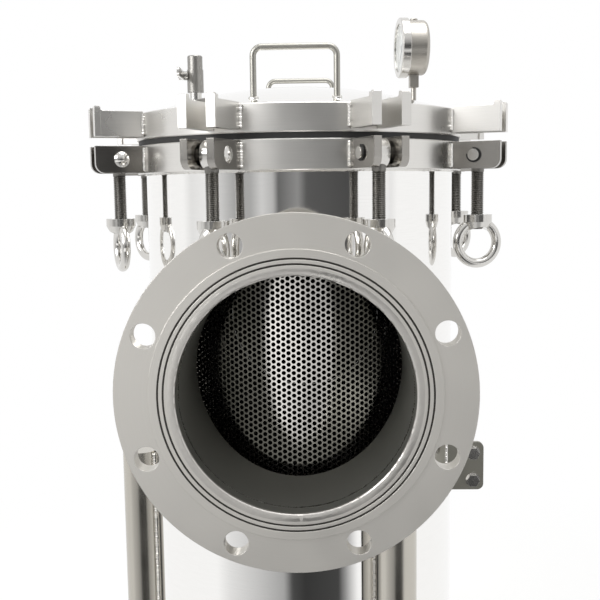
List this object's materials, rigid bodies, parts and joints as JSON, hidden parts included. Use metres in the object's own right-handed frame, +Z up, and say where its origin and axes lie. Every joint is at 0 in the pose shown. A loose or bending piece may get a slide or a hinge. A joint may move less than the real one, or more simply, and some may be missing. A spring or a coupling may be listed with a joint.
{
  "type": "basket strainer",
  "caption": "In-line basket strainer: a polished vessel on pipe legs with flanged nozzles, a removable basket on an inclined seat and a domed cover held by swing eye bolts.",
  "frame": {"origin": "centre of the circle of the three foot anchor holes, on the floor under the vessel's axis", "axes": "+Z up along the vessel's axis, -Y towards the outlet nozzle at the front, +X to the right seen from the front"},
  "size_m": [0.4927, 0.58, 0.94],
  "materials": {
    "mirror_steel": "mirror-polished stainless steel",
    "satin_steel": "satin-ground stainless steel",
    "machined_steel": "turned stainless steel, matt",
    "bright_fasteners": "bright stainless steel",
    "spring_steel": "dark spring steel",
    "black_rubber": "matt black rubber",
    "white_dial": "matt white, plain numbers",
    "black_pointer": "matt black",
    "clear_glass": "clear"
  },
  "bodies": {
    "housing": {"vessel_shell": "mirror_steel", "bottom_head": "mirror_steel", "drain_coupling": "satin_steel", "drain_plug": "satin_steel", "body_ring": "satin_steel", "body_lugs": "satin_steel", "clevis_pins": "bright_fasteners", "retaining_rings": "spring_steel", "cover_gasket": "black_rubber", "front_nozzle": "mirror_steel", "front_flange": "machined_steel", "rear_nozzle": "mirror_steel", "rear_flange": "machined_steel", "basket_seat": "satin_steel", "seat_gasket": "black_rubber", "left_leg": "mirror_steel", "right_leg": "mirror_steel", "rear_leg": "mirror_steel", "foot_plates": "satin_steel", "side_bracket": "satin_steel", "bracket_bolts": "bright_fasteners"},
    "cover": {"cover_ring": "satin_steel", "cover_head": "mirror_steel", "cover_lugs": "satin_steel", "front_handle": "mirror_steel", "rear_handle": "mirror_steel", "gauge_stem": "satin_steel", "gauge_case": "satin_steel", "gauge_bezel": "bright_fasteners", "gauge_dial": "white_dial", "gauge_window": "clear_glass", "gauge_plug": "black_rubber", "vent_nipple": "satin_steel", "vent_body": "satin_steel", "vent_cap": "satin_steel"},
    "gauge_needle": {"gauge_pointer": "black_pointer"},
    "vent_closure": {"vent_ball": "satin_steel", "vent_lever": "satin_steel", "lever_nut": "bright_fasteners"},
    "basket": {"basket_wall": "satin_steel", "basket_rim": "satin_steel", "basket_floor": "satin_steel", "basket_handle": "satin_steel"},
    "swing_bolt_1": {"eye_bolt_1": "bright_fasteners"},
    "swing_nut_1": {"eye_nut_1": "bright_fasteners"},
    "swing_bolt_2": {"eye_bolt_2": "bright_fasteners"},
    "swing_nut_2": {"eye_nut_2": "bright_fasteners"},
    "swing_bolt_3": {"eye_bolt_3": "bright_fasteners"},
    "swing_nut_3": {"eye_nut_3": "bright_fasteners"},
    "swing_bolt_4": {"eye_bolt_4": "bright_fasteners"},
    "swing_nut_4": {"eye_nut_4": "bright_fasteners"},
    "swing_bolt_5": {"eye_bolt_5": "bright_fasteners"},
    "swing_nut_5": {"eye_nut_5": "bright_fasteners"},
    "swing_bolt_6": {"eye_bolt_6": "bright_fasteners"},
    "swing_nut_6": {"eye_nut_6": "bright_fasteners"},
    "swing_bolt_7": {"eye_bolt_7": "bright_fasteners"},
    "swing_nut_7": {"eye_nut_7": "bright_fasteners"},
    "swing_bolt_8": {"eye_bolt_8": "bright_fasteners"},
    "swing_nut_8": {"eye_nut_8": "bright_fasteners"}
  },
  "joints": [
    {"name": "cover_lift", "type": "slide", "parent": "housing", "child": "cover", "axis": [0, 0, 1], "range_m": [0, 0.9]},
    {"name": "basket_lift", "type": "slide", "parent": "housing", "child": "basket", "axis": [0, 0, 1], "range_m": [0, 0.585]},
    {"name": "pointer_sweep", "type": "hinge", "parent": "cover", "child": "gauge_needle", "pos_m": [0.1345, 0, 0.906], "axis": [0.9962, 0.0872, 0], "range_deg": [0, 270], "stiffness_Nm_per_rad": 0.0005},
    {"name": "vent_lever_turn", "type": "hinge", "parent": "cover", "child": "vent_closure", "pos_m": [-0.12, 0, 0.8785], "axis": [-1, 0, 0], "range_deg": [0, 90]},
    {"name": "bolt_swing_1", "type": "hinge", "parent": "housing", "child": "swing_bolt_1", "pos_m": [0.08113, -0.19586, 0.7795], "axis": [-0.9239, -0.3827, 0], "range_deg": [0, 180]},
    {"name": "nut_travel_1", "type": "slide", "parent": "swing_bolt_1", "child": "swing_nut_1", "axis": [0, 0, 1], "range_m": [0, 0.0122]},
    {"name": "bolt_swing_2", "type": "hinge", "parent": "housing", "child": "swing_bolt_2", "pos_m": [0.19586, -0.08113, 0.7795], "axis": [-0.3827, -0.9239, 0], "range_deg": [0, 180]},
    {"name": "nut_travel_2", "type": "slide", "parent": "swing_bolt_2", "child": "swing_nut_2", "axis": [0, 0, 1], "range_m": [0, 0.0122]},
    {"name": "bolt_swing_3", "type": "hinge", "parent": "housing", "child": "swing_bolt_3", "pos_m": [0.19586, 0.08113, 0.7795], "axis": [0.3827, -0.9239, 0], "range_deg": [0, 180]},
    {"name": "nut_travel_3", "type": "slide", "parent": "swing_bolt_3", "child": "swing_nut_3", "axis": [0, 0, 1], "range_m": [0, 0.0122]},
    {"name": "bolt_swing_4", "type": "hinge", "parent": "housing", "child": "swing_bolt_4", "pos_m": [0.08113, 0.19586, 0.7795], "axis": [0.9239, -0.3827, 0], "range_deg": [0, 180]},
    {"name": "nut_travel_4", "type": "slide", "parent": "swing_bolt_4", "child": "swing_nut_4", "axis": [0, 0, 1], "range_m": [0, 0.0122]},
    {"name": "bolt_swing_5", "type": "hinge", "parent": "housing", "child": "swing_bolt_5", "pos_m": [-0.08113, 0.19586, 0.7795], "axis": [0.9239, 0.3827, 0], "range_deg": [0, 180]},
    {"name": "nut_travel_5", "type": "slide", "parent": "swing_bolt_5", "child": "swing_nut_5", "axis": [0, 0, 1], "range_m": [0, 0.0122]},
    {"name": "bolt_swing_6", "type": "hinge", "parent": "housing", "child": "swing_bolt_6", "pos_m": [-0.19586, 0.08113, 0.7795], "axis": [0.3827, 0.9239, 0], "range_deg": [0, 180]},
    {"name": "nut_travel_6", "type": "slide", "parent": "swing_bolt_6", "child": "swing_nut_6", "axis": [0, 0, 1], "range_m": [0, 0.0122]},
    {"name": "bolt_swing_7", "type": "hinge", "parent": "housing", "child": "swing_bolt_7", "pos_m": [-0.19586, -0.08113, 0.7795], "axis": [-0.3827, 0.9239, 0], "range_deg": [0, 180]},
    {"name": "nut_travel_7", "type": "slide", "parent": "swing_bolt_7", "child": "swing_nut_7", "axis": [0, 0, 1], "range_m": [0, 0.0122]},
    {"name": "bolt_swing_8", "type": "hinge", "parent": "housing", "child": "swing_bolt_8", "pos_m": [-0.08113, -0.19586, 0.7795], "axis": [-0.9239, 0.3827, 0], "range_deg": [0, 180]},
    {"name": "nut_travel_8", "type": "slide", "parent": "swing_bolt_8", "child": "swing_nut_8", "axis": [0, 0, 1], "range_m": [0, 0.0122]}
  ],
  "couplings": [
    {"joint": "basket_lift", "follows": "cover_lift", "ratio": 0.65}
  ]
}
